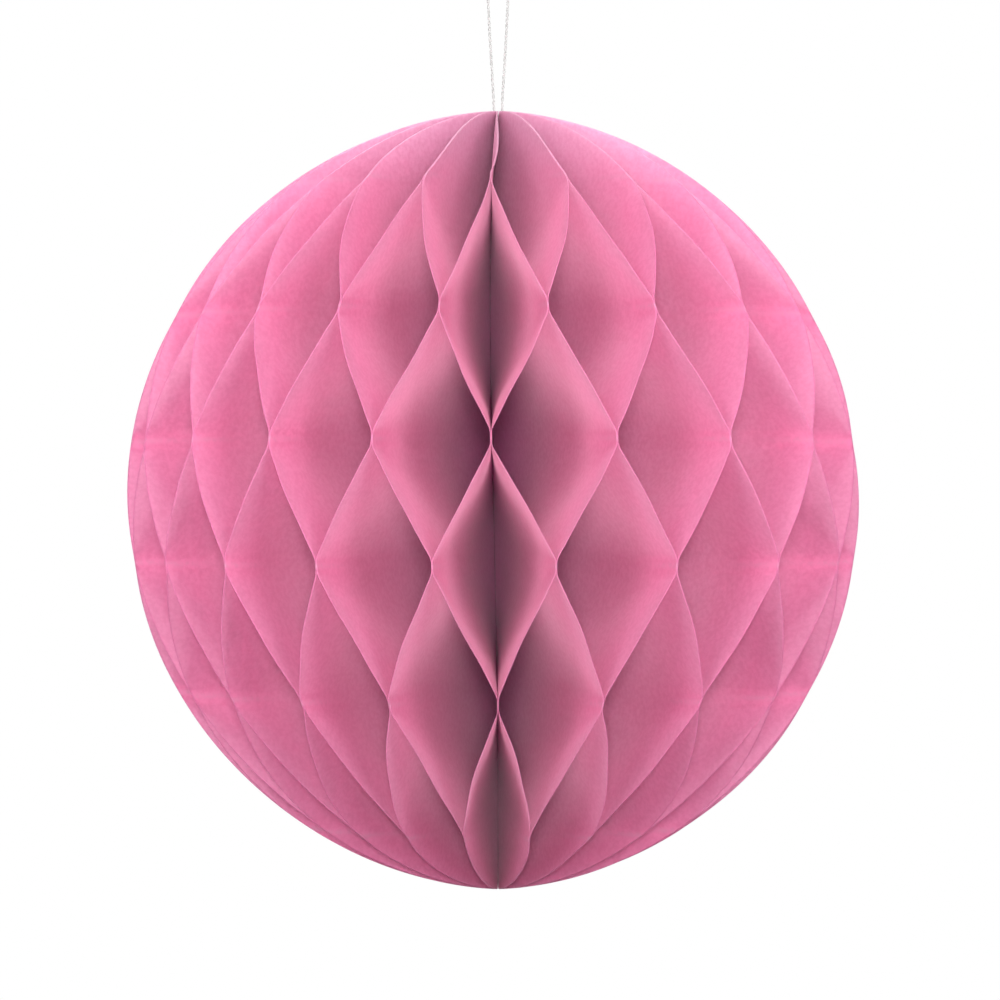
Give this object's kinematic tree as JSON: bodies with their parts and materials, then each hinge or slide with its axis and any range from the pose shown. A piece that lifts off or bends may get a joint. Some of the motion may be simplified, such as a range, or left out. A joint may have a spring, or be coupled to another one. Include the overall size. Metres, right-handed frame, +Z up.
{
  "type": "honeycomb paper ball",
  "caption": "Round hanging decoration of pink tissue leaves bound at an upright spine and pasted in staggered rows, so that they open into diamond cells, with a thread loop on top.",
  "frame": {"origin": "middle of the opened ball, on its spine", "axes": "+Z up along the spine to the hanging loop, -Y to the front, the closing seam at the back"},
  "size_m": [0.1866, 0.1867, 0.2386],
  "materials": {
    "tissue": "matte",
    "card": "matte",
    "thread": "matte"
  },
  "bodies": {
    "root": {"leaf_01": "tissue", "leaf_02": "tissue", "leaf_03": "tissue", "leaf_04": "tissue", "leaf_05": "tissue", "leaf_06": "tissue", "leaf_07": "tissue", "leaf_08": "tissue", "leaf_09": "tissue", "leaf_10": "tissue", "leaf_11": "tissue", "leaf_12": "tissue", "leaf_13": "tissue", "leaf_14": "tissue", "leaf_15": "tissue", "leaf_16": "tissue", "leaf_17": "tissue", "leaf_18": "tissue", "leaf_19": "tissue", "leaf_20": "tissue", "leaf_21": "tissue", "leaf_22": "tissue", "leaf_23": "tissue", "leaf_24": "tissue", "leaf_25": "tissue", "leaf_26": "tissue", "leaf_27": "tissue", "leaf_28": "tissue", "leaf_29": "tissue", "leaf_30": "tissue", "leaf_31": "tissue", "leaf_32": "tissue", "leaf_33": "tissue", "leaf_34": "tissue", "leaf_35": "tissue", "leaf_36": "tissue", "leaf_37": "tissue", "leaf_38": "tissue", "end_card_first": "card", "end_card_last": "card", "spine_thread": "thread", "hanging_loop": "thread"}
  },
  "joints": []
}
